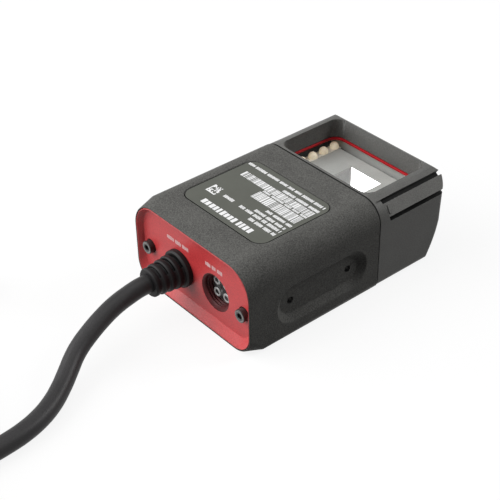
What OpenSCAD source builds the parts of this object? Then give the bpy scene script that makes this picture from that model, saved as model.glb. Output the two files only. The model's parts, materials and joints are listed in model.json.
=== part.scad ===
// Fixed barcode reader: a flat box housing with a right-angle reading head at one
// end and a red connector panel at the other.
// X runs across, Y from the connector panel to the head, Z up from the base.

/* [Body] */
// Width across the sides
body_w = 59; // [56:0.5:75]
// Length from the rear rim to the front of the head
body_l = 87.5; // [84:0.5:110]
// Height from the base to the top face
body_h = 33.3; // [32:0.1:42]
// Length of the main housing up to the seam with the head
housing_l = 56; // [54:0.5:64]
// Thickness of the housing's sides and floor
wall_t = 2.2; // [1.8:0.1:3]
// Thickness of the housing's roof
roof_t = 2.7; // [2:0.1:4]
// Radius of the long upper edges
top_r = 8; // [6:0.5:9]
// Radius of the long lower edges
bottom_r = 2.8; // [1.5:0.1:4]

/* [Rear end] */
// Length over which the housing tapers to its rear rim
rear_blend = 6; // [3:0.5:10]
// How far the top drops at the rear rim
rear_drop = 1.1; // [0.4:0.1:2]
// Upper corner radius at the rear rim
rear_top_r = 10.3; // [8:0.1:12]
// Lower corner radius at the rear rim
rear_bottom_r = 8; // [5:0.1:10]
// Width of the housing edge that shows round the panel
rim_t = 0.55; // [0.4:0.05:1]

/* [Side mounts] */
// Spacing of the two tapped holes on each side
mount_pitch = 25; // [20:0.5:28]
// Radius of a tapped mounting hole
mount_r = 1.25; // [1:0.05:1.7]
// Depth of a tapped mounting hole below its recess
mount_depth = 4; // [3:0.1:4.5]
// Distance from the rear rim to the middle of the hole pair
mount_y = 30.8; // [30:0.1:33]
// Height of the hole pair
mount_z = 13.4; // [12:0.1:16]
// Length of the side recess
recess_l = 38.8; // [34:0.1:40]
// Height of the side recess at its mouth
recess_h = 15; // [12:0.1:17]
// Depth of the side recess
recess_d = 2; // [1:0.1:2.4]
// How far the recess walls slope in
recess_slope = 2.4; // [1:0.1:3]

/* [Label] */
// Width of the label recess across the top
label_w = 40.6; // [30:0.1:41]
// Length of the label recess
label_l = 32.7; // [25:0.1:35]
// Distance from the rear rim to the label recess
label_y = 11.8; // [9:0.1:14]
// Corner radius of the label recess
label_r = 4.5; // [2:0.1:6]
// Depth of the label recess
label_d = 0.5; // [0.3:0.05:1]
// Thickness of the label plate
label_t = 0.3; // [0.2:0.05:0.3]

/* [Reading head] */
// How far the head's sides lie inside the housing's
head_inset = 0.3; // [0:0.05:0.6]
// Thickness of the head's sides
head_wall = 3.7; // [3:0.1:4.5]
// Thickness of the head's front
front_wall = 1.1; // [0.9:0.1:1.6]
// Thickness of the head's floor
head_floor = 4; // [3.5:0.1:5]
// How far the front leans back from the top edge to the knee
front_lean = 0.8; // [0.4:0.1:4]
// How far the foot of the front lies behind the top edge
front_foot = 6.5; // [5:0.1:10]
// Height of the knee in the front
knee_z = 14.5; // [10:0.5:17]
// Radius of the front's upright corners
corner_r = 2.6; // [1.5:0.1:6]
// Radius of the front's top edge
brow_r = 2.2; // [0.5:0.1:3]
// Height of the relief under the head
base_step = 0.5; // [0.2:0.1:1]
// Length of the spigot that enters the housing
spigot_l = 7; // [6:0.1:8]

/* [Window] */
// Width of the window opening
window_w = 43.6; // [36:0.1:44]
// Length of the window opening at the top face
window_l = 28.3; // [26:0.1:29]
// Distance from the seam to the window opening
window_y = 1.2; // [0.8:0.1:2]
// Corner radius of the window opening
window_r = 4; // [2:0.1:5]
// Depth of the gasket seat at the near edge of the window
seat_d = 6.3; // [5:0.1:7.5]
// Tilt of the gasket seat in degrees
seat_tilt = 2; // [0:0.1:3]
// Thickness of the window gasket
gasket_t = 0.9; // [0.5:0.05:1.2]
// How far the gasket shows inside the opening
gasket_lip = 0.4; // [0.1:0.05:0.8]
// Thickness of the window glass
glass_t = 1.1; // [0.8:0.05:1.4]
// How far the glass reaches past the opening
glass_lap = 1.6; // [1:0.1:2]

/* [Slide slots] */
// Distance from the seam to the closed end of a slot at its lower lip
slot_y = 4.9; // [3:0.1:8]
// Angle of a slot's lower lip on the edge radius
slot_low = -1; // [-2:1:10]
// Angle of a slot's upper lip on the edge radius
slot_high = 59; // [42:1:60]
// Rake of a slot's closed end in degrees
slot_rake = 13; // [0:1:20]
// Depth of the slot's flat land at its middle
slot_land = 0.6; // [0.4:0.05:1.2]
// Depth of the grooves under the lips
slot_groove = 2; // [1.4:0.1:2.4]
// Width of the grooves under the lips
slot_groove_w = 1.55; // [0.8:0.05:1.8]

/* [Optics] */
// Gap between the low edge of the glass and the optical plate
plate_drop = 2.25; // [2.2:0.05:4]
// Thickness of the optical plate and the lamp boards
plate_t = 1; // [0.8:0.1:1.6]
// Width of the camera aperture
aperture_w = 14.7; // [10:0.1:18]
// Length of the camera aperture
aperture_l = 16.8; // [12:0.1:18]
// Distance from the seam to the middle of the aperture
aperture_y = 14.4; // [13:0.1:15]
// Height of the camera's axis
lens_z = 13.5; // [12.5:0.1:14.5]
// Radius of the lens barrel
lens_r = 6; // [5:0.1:6.3]
// Length of the lens barrel
lens_l = 14; // [12:0.1:16]
// Thickness of the fold mirror
mirror_t = 1.5; // [1:0.1:2]
// Lamps on each board
lamp_count = 5; // [3:1:5]
// Spacing of the lamps
lamp_pitch = 5.3; // [4:0.1:5.6]
// Radius of a lamp dome
lamp_r = 1.7; // [1:0.05:1.75]

/* [Connector panel] */
// Thickness of the panel
panel_t = 5; // [4.5:0.1:6]
// Depth of the dished face
dish_d = 2.1; // [1:0.1:2.4]
// Inset of the dish floor at the top and sides
dish_side = 1.5; // [1:0.1:2]
// Inset of the dish floor at the bottom
dish_foot = 3.6; // [2:0.1:4.5]
// Thickness of the rubber seals
seal_t = 0.6; // [0.4:0.05:1]
// Height of the ports and screws
port_z = 14.4; // [13.5:0.1:16]
// Distance of the panel screws from the sides
screw_inset = 5.3; // [5:0.1:6]
// Radius of a panel screw's head
screw_head_r = 2.3; // [2:0.05:3]
// Height of a panel screw's head
screw_head_h = 2.7; // [2.5:0.1:3]
// Radius of a panel screw's shank
screw_r = 1.25; // [1.2:0.05:1.6]
// Length of a panel screw's shank
screw_l = 12; // [9:0.5:14]

/* [Network socket] */
// Distance of the network socket from the middle
socket_x = 10; // [9:0.1:11]
// Radius of the threaded bore
socket_r = 6; // [5.5:0.1:6.3]
// Chamfer at the mouth of the bore
socket_chamfer = 0.9; // [0.4:0.1:1.2]
// Depth of the insert's face below the dish floor
socket_d = 5; // [4.6:0.1:6]
// Distance between neighbouring contacts
contact_pitch = 4.7; // [4:0.1:5]

/* [Cable] */
// Distance of the cable from the middle
gland_x = -8; // [-9:0.1:-8]
// Radius of the boot's flange
boot_r = 6.7; // [6:0.1:7]
// Radius of the boot's free end
boot_end_r = 5; // [4.5:0.1:5.5]
// Length of the boot behind the rear rim
boot_l = 11; // [9:0.5:14]
// Diameter of the cable
cord_d = 6.35; // [5:0.05:6.4]
// Mean radius of the stored coil
coil_r = 35; // [32:0.5:40]

/* [Hidden] */
$fn = 64;

// Gaps between pieces that are put together
fit_gap = 0.15;
// A cut's overshoot past the face that it opens
past = 1;
// Thickness of a slice that only guides a blend
slice = 0.02;

half_w = body_w / 2;
rear_y = -body_l / 2;
front_y = body_l / 2;
seam_y = rear_y + housing_l;
housing_end = seam_y - seal_t / 2;
head_start = seam_y + seal_t / 2;

// Panel, its pocket and the housing's cavity
panel_hw = half_w - rim_t;
panel_z0 = rim_t;
panel_z1 = body_h - rear_drop - rim_t;
panel_rt = rear_top_r - rim_t;
panel_rb = rear_bottom_r - rim_t;
panel_in = rear_y + panel_t;
pocket_y = panel_in + seal_t;
cavity_hw = half_w - wall_t;
cavity_z1 = body_h - roof_t;
cavity_tight = 0.8;
cavity_rt = panel_rt - cavity_tight;
cavity_rb = 6;
seal_in = 0.4;
seal_edge = 0.6;
// Width of the flat edge round the dish
dish_rim = 0.3;
floor_y = rear_y + dish_d;

// Panel screws and the bosses that they enter
screw_x = half_w - screw_inset;
screw_proud = 1.9;
screw_seat = floor_y + screw_head_h - screw_proud;
screw_key_r = 1.15;
screw_key_d = 1.5;
thread_bite = 0.2;
thread_gap = 0.02;
screw_hole_r = screw_r - thread_bite;
boss_wall = 2;
boss_step = 0.5;
boss_cap = 1;
boss_r = screw_hole_r + boss_wall;
boss_end = screw_seat + screw_l + boss_cap;

// Pads behind the side recesses
pad_t = 5;
pad_rear = 6.3;
pad_front = 5.2;
pad_over = 1.5;
mount_cy = rear_y + mount_y;
pad_y0 = mount_cy - mount_pitch / 2 - pad_rear;
pad_y1 = min(mount_cy + mount_pitch / 2 + pad_front, seam_y - spigot_l - fit_gap);
pad_z0 = mount_z - recess_h / 2 - pad_over;
pad_z1 = mount_z + recess_h / 2 + pad_over;

// Head and window
head_hw = half_w - head_inset;
head_cavity_hw = head_hw - head_wall;
win_y0 = seam_y + window_y;
win_rake = 0.7;
seat_l = window_l - win_rake;
seat_z = body_h - seat_d;
seat_drop = tan(seat_tilt) * seat_l;
seat_gap = 0.05;
far_lap = 0.8;
glass_hw = window_w / 2 + glass_lap;
relief_l = 6;
knee_y = front_y - front_lean;
foot_y = front_y - front_foot;
chin_bulge = 1.4;
bend = [knee_y - chin_bulge, knee_z / 2];
nub_l = 0.9;

// Countersunk screws that hold the head's spigot through the housing's floor
head_screw_in = 3;
head_screw_x = cavity_hw - cavity_rb - head_screw_in;
head_screw_y = seam_y - spigot_l / 2;
head_screw_r = 1.2;
head_screw_top = 2.3;
head_screw_sink = 0.1;
head_screw_key_r = 0.9;
head_screw_key_d = 1;

// Optical plate with its light shield, and the lamps beside it
plate_z = seat_z - gasket_t - glass_t - seat_drop - plate_drop;
ledge_z = plate_z - plate_t;
ledge_t = 2;
ledge_lap = 1.5;
lamp_in = 0.6;
lamp_margin = 0.1;
lamp_back = 1.1;
lamp_base = 0.4;
lamp_x = window_w / 2 - lamp_in;
board_in = lamp_x - lamp_r - lamp_margin;
board_out = lamp_x + lamp_r + lamp_margin;
plate_hw = board_in - fit_gap;
plate_start = 1.5;
plate_back = 0.4;
plate_y0 = seam_y + plate_start;
plate_y1 = win_y0 + seat_l - plate_back;
lamp_y1 = plate_y1 - lamp_back;
aperture_y0 = seam_y + aperture_y - aperture_l / 2;
aperture_y1 = seam_y + aperture_y + aperture_l / 2;
shield_t = 1;

// Fold mirror at 45 degrees, from the far edge of the aperture down to its bracket
mirror_foot = 2.5;
mirror_drop = 0.2;
mirror_low = head_floor + mirror_foot;
mirror_high = plate_z - mirror_drop;
mirror_shift = aperture_y1 - plate_z;
mirror_hw = aperture_w / 2 - fit_gap;
mirror_back = mirror_t * sqrt(0.5);
bracket_rib = 2.5;
bracket_lean = 2;

// Camera
lens_start = 1.5;
lens_front = seam_y + lens_start;
lens_step = 0.5;
lens_back_r = lens_r - lens_step;
lens_bore_r = 2.5;
lens_glass_r = 4;
lens_glass_t = 2.2;
lens_grip_l = 5;
lens_seat = 4;
lens_hood = 1.6;
lens_rim = 1.2;
lens_edge = 0.4;
slide_gap = 0.05;
holder_wall = 3;
holder_gap = 0.8;
holder_hw = lens_r + holder_wall;
holder_y1 = seam_y - spigot_l - holder_gap;
holder_y0 = lens_front - lens_l - holder_wall;
sensor_w = 7;
sensor_t = 1.2;

// Socket
socket_face = floor_y + socket_d;
socket_boss_wall = 1.8;
socket_boss_r = socket_r + socket_boss_wall;
socket_nose = 5;
socket_back = socket_face + socket_nose;
shield_gap = 0.3;
sleeve_t = 0.5;
shield_r = socket_r - shield_gap;
insert_r = shield_r - sleeve_t;
flange_in = 0.5;
flange_r = socket_boss_r - flange_in;
flange_t = 1.6;
ring_t = 0.8;
collar_r = 1.6;
collar_h = 0.5;
key_w = 1.6;
key_d = 1;
key_l = 3;
sleeve_edge = 0.2;
contact_r = 0.9;
contact_wall = 0.3;
contact_drop = 0.1;
contact_d = 4;
tail_r = 0.4;
tail_gap = 0.1;
tail_over = 0.8;

// Boards, their posts and their screws
standoff_h = 2.7;
board_t = 1.6;
board_z = wall_t + standoff_h;
board_top = board_z + board_t;
board_gap = 1.2;
board_hw = cavity_hw - pad_t - board_gap;
board_y1 = holder_y1;
io_gap = 7.9;
io_edge = 2;
io_side = 0.8;
io_front = 2.4;
io_y = socket_back + io_gap;
io_hw = screw_x - boss_r - io_side;
io_z0 = wall_t + io_edge;
io_z1 = cavity_z1 - io_edge;
board_y0 = io_y + board_t + io_front;
stud_r = 1.2;
stud_wall = 1.6;
stud_edge = 4;
stud_end = 3.5;
stud_floor = 1;
stud_hole_r = stud_r - thread_bite;
stud_x = board_hw - stud_edge;
stud_ys = [board_y0 + stud_end, board_y1 - stud_end];
post_wall = 1.4;
post_edge = 3.1;
post_hole_l = 6;
post_x = io_hw - post_edge;
post_z = io_z1 - post_edge;
pan_r = 2.1;
pan_h = 1.5;
pan_key_r = 0.8;
pan_key_d = 0.7;
pan_reach = 2.2;
chip_w = 12;
chip_t = 1.2;
chip_back = 2;
chip_y = (stud_ys[0] + stud_ys[1]) / 2 - chip_back;

// Boot, cable and the lead behind the panel
cord_r = cord_d / 2;
boot_end = rear_y - boot_l;
neck_r = 4.3;
barb_lip = 1;
barb_t = 1.4;
boot_ribs = 4;
boot_rib_w = 1.9;
boot_rib_edge = 0.4;
boot_step = 0.5;
boot_flange_t = 2.2;
boot_flange_edge = 0.6;
boot_core_drop = 0.9;
boot_spine_drop = 0.35;
boot_spine_angle = 80;
lead_r = 2.6;
lead_plug_w = 10;
lead_plug_h = 7;
lead_plug_l = 5;
lead_end = io_y - lead_plug_l;

// Route of the cable from the boot, over the floor, to the coil
cord_route = [
    [gland_x, boot_end, port_z],
    [gland_x, -58, port_z],
    [-8, -62, 13.8],
    [-7.3, -68.4, 12.9],
    [-6.2, -74.2, 11.5],
    [-4.5, -80.6, 9.6],
    [-3, -85, 8.1],
    [-1.2, -88.6, 6.8],
    [1.4, -92.4, 5.5],
    [5.4, -98, 4.2],
    [8.8, -103.4, 3.6],
    [11.3, -109, 3.3],
    [13.1, -115.6, 3.2],
    [14, -122.6, 3.3],
    [14.4, -130, 3.5],
    [14.5, -137, 3.6],
    [14.5, -143.4, 3.7]
];
cord_sides = 12;
tie_t = 0.5;
tie_w = 14;
coil_half = cord_d;
coil_out = coil_r + cord_r;
// How far from the coil's middle a straight run beside it has to end
coil_reach = sqrt(pow(coil_r + coil_half + 2 * fit_gap, 2) - pow(coil_r, 2));
cord_end = cord_route[len(cord_route) - 1];
coil_at = [cord_end[0] - coil_out, cord_end[1] - coil_reach, tie_t];
plug_r = 7.2;
plug_edge = 0.4;
// Distance from the coil's middle to the plug
tail_l = 34;
plug_at = [coil_at[0] - coil_out, coil_at[1] + tail_l, plug_r];
tail_start = [plug_at[0], coil_at[1] + coil_reach, plug_r];
plug_body_l = 24;
plug_tail_r = 4.4;
plug_tail_edge = 0.6;
plug_taper_l = 9;
plug_taper_r = 5.4;
plug_grip_y = 11;
plug_grip_r = 6.3;
plug_nut_l = 9;
plug_front_l = 8;
plug_front_r = 5.8;
plug_wall = 1;
plug_well = 6;
plug_pins_n = 8;
plug_pin_r = 0.5;
plug_pin_l = 5;
plug_pin_ring = 2.8;

// Depth of the head's front face at a height: a straight brow and a curved chin
function bezier(a, b, c, t) = (1 - t) * (1 - t) * a + 2 * t * (1 - t) * b + t * t * c;
function chin(t) = bezier([knee_y, knee_z], bend, [foot_y, base_step], t);
// Where on the chin curve a height is reached
function chin_t(z) = (knee_z - sqrt(knee_z * knee_z - 4 * base_step * (knee_z - z))) / (2 * base_step);
function face_y(z) = front_y - (body_h - z) * front_lean / (body_h - knee_z);
// Inner face of the head's front at a height above the knee
function wall_in(z) = face_y(z) - front_wall;
// Height of the gasket seat at a place along the head
function seat_at(y) = seat_z - tan(seat_tilt) * (y - win_y0);

// Sweep of a round tube along a list of points
function unit(v) = v / norm(v);
function heading(path, i) =
    unit(path[min(i + 1, len(path) - 1)] - path[max(i - 1, 0)]);
function ring(path, i, r, sides) =
    let (t = heading(path, i), u = unit(cross(t, [0, 0, 1])), v = cross(u, t))
    [for (k = [0 : sides - 1])
        path[i] + r * (cos(360 * k / sides) * u + sin(360 * k / sides) * v)];

module tube(path, r, sides) {
    last = len(path) - 1;
    points = [for (i = [0 : last]) each ring(path, i, r, sides)];
    skin = [for (i = [0 : last - 1], k = [0 : sides - 1])
        let (a = i * sides + k, b = i * sides + (k + 1) % sides)
        [a, b, b + sides, a + sides]];
    start = [for (k = [sides - 1 : -1 : 0]) k];
    end = [for (k = [0 : sides - 1]) last * sides + k];
    polyhedron(points, concat([start], skin, [end]));
}

// Outline in X and Z raised along Y
module along_y(y0, y1) {
    translate([0, y1, 0])
        rotate([90, 0, 0])
            linear_extrude(y1 - y0)
                children();
}

// Outline in Y and Z raised along X, to both sides of the middle
module across(hw) {
    translate([-hw, 0, 0])
        rotate([90, 0, 90])
            linear_extrude(2 * hw)
                children();
}

// Round piece along +Y from a place
module rod(x, y, z, r, l) {
    translate([x, y, z])
        rotate([-90, 0, 0])
            cylinder(r = r, h = l);
}

// Turned piece along +Y, its profile given as radius and distance
module turned(x, y, z) {
    translate([x, y, z])
        rotate([-90, 0, 0])
            rotate_extrude()
                children();
}

// Box section with its own upper and lower corner radii
module section(hw, z0, z1, rt, rb) {
    translate([-hw, z0 + rb])
        square([2 * hw, z1 - z0 - rt - rb]);
    translate([rt - hw, z0 + rb])
        square([2 * (hw - rt), z1 - z0 - rb]);
    translate([rb - hw, z0])
        square([2 * (hw - rb), z1 - z0 - rt]);
    for (side = [-1, 1]) {
        translate([side * (hw - rt), z1 - rt])
            circle(rt);
        translate([side * (hw - rb), z0 + rb])
            circle(rb);
    }
}

// Rounded rectangle from a near edge, both in plan
module pane(hw, y0, y1, r) {
    translate([-hw, y0 + r])
        square([2 * hw, y1 - y0 - 2 * r]);
    translate([r - hw, y0])
        square([2 * (hw - r), y1 - y0]);
    for (side = [-1, 1], y = [y0 + r, y1 - r])
        translate([side * (hw - r), y])
            circle(r);
}

module body_section() {
    section(half_w, 0, body_h, top_r, bottom_r);
}

module panel_section(gap = 0) {
    section(panel_hw - gap, panel_z0 + gap, panel_z1 - gap, panel_rt - gap, panel_rb - gap);
}

module cavity_section(gap = 0) {
    section(cavity_hw - gap, wall_t + gap, cavity_z1 - gap, cavity_rt - gap, cavity_rb - gap);
}

// Tapered recess with its tapped holes, on the right side
module side_recess() {
    mouth_r = recess_h / 2;
    floor_r = mouth_r - recess_slope;
    run = recess_l - recess_h;
    translate([half_w, mount_cy, mount_z])
        rotate([90, 0, 90]) {
            translate([-run / 2, 0, 0])
                rotate([90, 0, 90])
                    linear_extrude(run)
                        polygon([[-floor_r, -recess_d], [floor_r, -recess_d], [mouth_r, 0],
                                 [mouth_r, past], [-mouth_r, past], [-mouth_r, 0]]);
            for (side = [-1, 1]) {
                translate([side * run / 2, 0, -recess_d])
                    cylinder(r1 = floor_r, r2 = mouth_r, h = recess_d);
                translate([side * run / 2, 0, 0])
                    cylinder(r = mouth_r, h = past);
                translate([side * mount_pitch / 2, 0, -recess_d - mount_depth])
                    cylinder(r = mount_r, h = mount_depth + past);
            }
        }
}

module housing_bosses() {
    for (side = [-1, 1]) {
        rod(side * screw_x, panel_in, port_z, boss_r - boss_step, boss_end - panel_in);
        rod(side * screw_x, pocket_y, port_z, boss_r, boss_end - pocket_y);
        translate([side > 0 ? cavity_hw - pad_t : -cavity_hw - past, pad_y0, pad_z0])
            cube([pad_t + past, pad_y1 - pad_y0, pad_z1 - pad_z0]);
        for (y = stud_ys)
            translate([side * stud_x, y, wall_t - past])
                cylinder(r = stud_r + stud_wall, h = standoff_h + past);
    }
}

module housing() {
    color("dimgray")
    difference() {
        union() {
            difference() {
                hull() {
                    along_y(rear_y, rear_y + slice)
                        section(half_w, 0, body_h - rear_drop, rear_top_r, rear_bottom_r);
                    along_y(rear_y + rear_blend, housing_end)
                        body_section();
                }
                along_y(rear_y - past, pocket_y)
                    panel_section(-fit_gap);
                along_y(rear_y, housing_end + past)
                    cavity_section();
            }
            housing_bosses();
        }
        side_recess();
        mirror([1, 0, 0])
            side_recess();
        translate([0, 0, body_h - label_d])
            linear_extrude(label_d + past)
                pane(label_w / 2, rear_y + label_y, rear_y + label_y + label_l, label_r);
        for (side = [-1, 1]) {
            rod(side * screw_x, rear_y, port_z, screw_hole_r, boss_end - boss_cap / 2 - rear_y);
            for (y = stud_ys)
                translate([side * stud_x, y, stud_floor])
                    cylinder(r = stud_hole_r, h = board_z);
            translate([side * head_screw_x, head_screw_y, 0])
                head_screw_hole();
        }
    }
}

module head_screw_hole() {
    translate([0, 0, -past])
        cylinder(r = head_screw_r + fit_gap, h = wall_t + 2 * past);
    translate([0, 0, -slice])
        cylinder(r1 = head_screw_top + fit_gap, r2 = head_screw_r + fit_gap,
                 h = head_screw_top - head_screw_r + slice);
}

module head_screws() {
    color("silver")
    for (side = [-1, 1])
        translate([side * head_screw_x, head_screw_y, 0])
            difference() {
                translate([0, 0, head_screw_sink]) {
                    cylinder(r1 = head_screw_top, r2 = head_screw_r, h = head_screw_top - head_screw_r);
                    cylinder(r = head_screw_r, h = head_floor - 2 * head_screw_sink);
                }
                cylinder(r = head_screw_key_r, h = head_screw_key_d, $fn = 6);
            }
}

// Head outline in plan at one height
module head_slice(z, y) {
    translate([0, 0, z])
        linear_extrude(slice)
            head_plan(y);
}

module head_plan(y) {
    translate([-head_hw, head_start])
        square([2 * head_hw, y - corner_r - head_start]);
    for (side = [-1, 1])
        translate([side * (head_hw - corner_r), y - corner_r])
            circle(corner_r, $fn = 32);
}

module head_form() {
    intersection() {
        hull() {
            for (a = [0 : 30 : 90])
                head_slice(body_h - brow_r + brow_r * sin(a) - slice,
                           face_y(body_h) - brow_r + brow_r * cos(a));
            for (t = [0 : 0.125 : 1])
                head_slice(chin(t)[1], chin(t)[0]);
            head_slice(0, seam_y + relief_l);
        }
        along_y(head_start, front_y)
            section(head_hw, 0, body_h, top_r, bottom_r);
    }
}

// Hollow of the head in side view, under the gasket seat
module head_hollow() {
    back_y = seam_y - spigot_l - past;
    far_y = wall_in(seat_at(front_y));
    across(head_cavity_hw)
        polygon(concat(
            [[back_y, head_floor]],
            [for (k = [8 : -1 : 0])
                chin(chin_t(head_floor) * k / 8) - [front_wall, 0]],
            [[far_y, seat_at(far_y)], [back_y, seat_at(back_y)]]));
}

// Ledges that carry the optical plate and the lamp boards
module head_ledges() {
    ledge_in = plate_hw - ledge_lap;
    for (side = [-1, 1])
        translate([side > 0 ? ledge_in : -head_cavity_hw - past, head_start + past, ledge_z - ledge_t])
            cube([head_cavity_hw + past - ledge_in, body_l, ledge_t]);
}

module window_cut() {
    hull() {
        translate([0, 0, body_h])
            linear_extrude(past)
                pane(window_w / 2, win_y0, win_y0 + window_l, window_r, $fn = 32);
        translate([0, 0, seat_at(front_y) - past])
            linear_extrude(slice)
                pane(window_w / 2, win_y0, win_y0 + seat_l, window_r, $fn = 32);
    }
}

function toward(angle) = [cos(angle), sin(angle)];

// Slide slot on the right upper edge: a flat land between two lip grooves
module slot_profile() {
    lip = asin(slot_groove_w / 2 / top_r);
    low = slot_low + lip;
    high = slot_high - lip;
    mid = (low + high) / 2;
    land_r = (top_r - slot_land) / cos(high - mid);
    reach = 2 * top_r;
    polygon([land_r * toward(low), reach * toward(low), reach * toward(mid), reach * toward(high),
             land_r * toward(high)]);
    for (a = [low, high])
        rotate(a)
            translate([top_r - slot_groove, -slot_groove_w / 2])
                square([slot_groove + past, slot_groove_w]);
}

module slot_cut() {
    end_y = seam_y + slot_y;
    difference() {
        along_y(seam_y, front_y + past)
            translate([head_hw - top_r, body_h - top_r])
                slot_profile();
        translate([0, end_y, body_h - top_r])
            rotate([slot_rake, 0, 0])
                translate([0, -body_h, -body_h])
                    cube([body_w, body_h, 2 * body_h]);
        along_y(end_y, end_y + nub_l)
            translate([head_hw - top_r, body_h - top_r])
                rotate((slot_low + slot_high) / 2)
                    translate([0, -slot_groove_w])
                        square([top_r - slot_land / 2, 2 * slot_groove_w]);
    }
}

// Room for the glass and its gasket under the seat
module seat_pocket() {
    on_seat()
        translate([0, 0, -gasket_t - glass_t])
            linear_extrude(gasket_t + glass_t + seat_gap)
                pane(glass_hw + fit_gap, -glass_lap - fit_gap, seat_l + far_lap + fit_gap, window_r);
}

module head_cover() {
    color("dimgray")
    difference() {
        union() {
            head_form();
            along_y(seam_y - spigot_l, head_start)
                cavity_section(fit_gap);
        }
        difference() {
            head_hollow();
            head_ledges();
        }
        window_cut();
        seat_pocket();
        slot_cut();
        mirror([1, 0, 0])
            slot_cut();
        for (side = [-1, 1])
            translate([side * head_screw_x, head_screw_y, 0])
                cylinder(r = head_screw_r, h = head_floor + past);
    }
}

module head_seal() {
    color("black")
    along_y(housing_end, head_start)
        difference() {
            section(half_w - seal_edge, seal_edge, body_h - seal_edge, top_r - seal_edge,
                    bottom_r - seal_edge);
            cavity_section(-fit_gap);
        }
}

module end_panel() {
    color("firebrick")
    difference() {
        union() {
            along_y(rear_y, panel_in)
                panel_section();
            rod(socket_x, panel_in - slice, port_z, socket_boss_r, socket_back - panel_in + slice);
            for (side = [-1, 1])
                rod(side * post_x, panel_in - slice, post_z, stud_r + post_wall, io_y - panel_in + slice);
        }
        hull() {
            along_y(rear_y - past, rear_y)
                panel_section(dish_rim, $fn = 32);
            along_y(floor_y - slice, floor_y)
                section(panel_hw - dish_side, panel_z0 + dish_foot, panel_z1 - dish_side,
                        panel_rt - dish_side, panel_rb - dish_side, $fn = 32);
        }
        for (side = [-1, 1]) {
            rod(side * screw_x, rear_y, port_z, screw_r + fit_gap, panel_t + past);
            rod(side * screw_x, rear_y, port_z, screw_head_r + fit_gap, screw_seat - rear_y);
            rod(side * post_x, io_y - post_hole_l, post_z, stud_hole_r, post_hole_l + past);
        }
        rod(gland_x, rear_y, port_z, neck_r + fit_gap, panel_t + past);
        turned(socket_x, floor_y, port_z)
            polygon([[0, -past], [socket_r + socket_chamfer, -past], [socket_r + socket_chamfer, 0],
                     [socket_r, socket_chamfer], [socket_r, socket_back - floor_y + past],
                     [0, socket_back - floor_y + past]]);
    }
}

module panel_seal() {
    color("black")
    along_y(panel_in, pocket_y)
        difference() {
            panel_section();
            cavity_section(-seal_in);
        }
}

module panel_screws() {
    color("darkslategray")
    for (side = [-1, 1])
        difference() {
            union() {
                rod(side * screw_x, screw_seat - screw_head_h, port_z, screw_head_r, screw_head_h);
                rod(side * screw_x, screw_seat - slice, port_z, screw_hole_r - thread_gap, screw_l);
            }
            translate([side * screw_x, screw_seat - screw_head_h - past, port_z])
                rotate([-90, 0, 0])
                    cylinder(r = screw_key_r, h = past + screw_key_d, $fn = 6);
        }
}

module name_label() {
    color("darkolivegreen")
    translate([0, 0, body_h - label_d])
        linear_extrude(label_t)
            pane(label_w / 2 - fit_gap, rear_y + label_y + fit_gap,
                 rear_y + label_y + label_l - fit_gap, label_r - fit_gap);
}

// Frame of the gasket seat, tilted about the window's near edge
module on_seat() {
    translate([0, win_y0, seat_z])
        rotate([-seat_tilt, 0, 0])
            children();
}

module seat_pane() {
    pane(glass_hw, -glass_lap, seat_l + far_lap, window_r);
}

module window_gasket() {
    color("crimson")
    on_seat()
        translate([0, 0, -gasket_t])
            linear_extrude(gasket_t)
                difference() {
                    seat_pane();
                    pane(window_w / 2 - gasket_lip, gasket_lip, seat_l - gasket_lip, window_r);
                }
}

module window_glass() {
    color("lightcyan", 0.4)
    on_seat()
        translate([0, 0, -gasket_t - glass_t])
            linear_extrude(glass_t)
                seat_pane();
}

// Plate with a light shield on each side of the aperture, down past the mirror
module optical_plate() {
    color("lightgray") {
        difference() {
            translate([-plate_hw, plate_y0, ledge_z])
                cube([2 * plate_hw, plate_y1 - plate_y0, plate_t]);
            translate([-aperture_w / 2, aperture_y0, ledge_z - past])
                cube([aperture_w, aperture_l, plate_t + 2 * past]);
        }
        for (side = [-1, 1])
            translate([side * (aperture_w + shield_t) / 2, 0, 0])
                across(shield_t / 2)
                    polygon([[aperture_y0, plate_z], [aperture_y1, plate_z],
                             [aperture_y1, ledge_z - plate_t],
                             [mirror_low + mirror_shift + shield_t, mirror_low],
                             [aperture_y0, mirror_low]]);
    }
}

module lamp_board() {
    translate([board_in, plate_y0, ledge_z])
        cube([board_out - board_in, lamp_y1 + lamp_r + lamp_margin - plate_y0, plate_t]);
}

module lamp_board_right() {
    color("beige")
    lamp_board();
}

module lamp_board_left() {
    color("beige")
    mirror([1, 0, 0])
        lamp_board();
}

module lamp_domes() {
    color("wheat")
    for (side = [-1, 1], i = [0 : lamp_count - 1])
        translate([side * lamp_x, lamp_y1 - i * lamp_pitch, plate_z])
            rotate_extrude()
                lamp_half();
}

// Half of a lamp's section: a short base under a dome
module lamp_half() {
    square([lamp_r, lamp_base]);
    translate([0, lamp_base])
        intersection() {
            circle(lamp_r);
            square(lamp_r);
        }
}

// Back face of the mirror: its low end, and its high end cut upright at the aperture's edge
function mirror_heel() = [mirror_low + mirror_shift + mirror_back, mirror_low - mirror_back];
function mirror_head() = [mirror_high + mirror_shift, mirror_high - 2 * mirror_back];

module fold_mirror() {
    color("silver")
    across(mirror_hw)
        polygon([[mirror_low + mirror_shift, mirror_low], [mirror_high + mirror_shift, mirror_high],
                 mirror_head(), mirror_heel()]);
}

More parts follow.
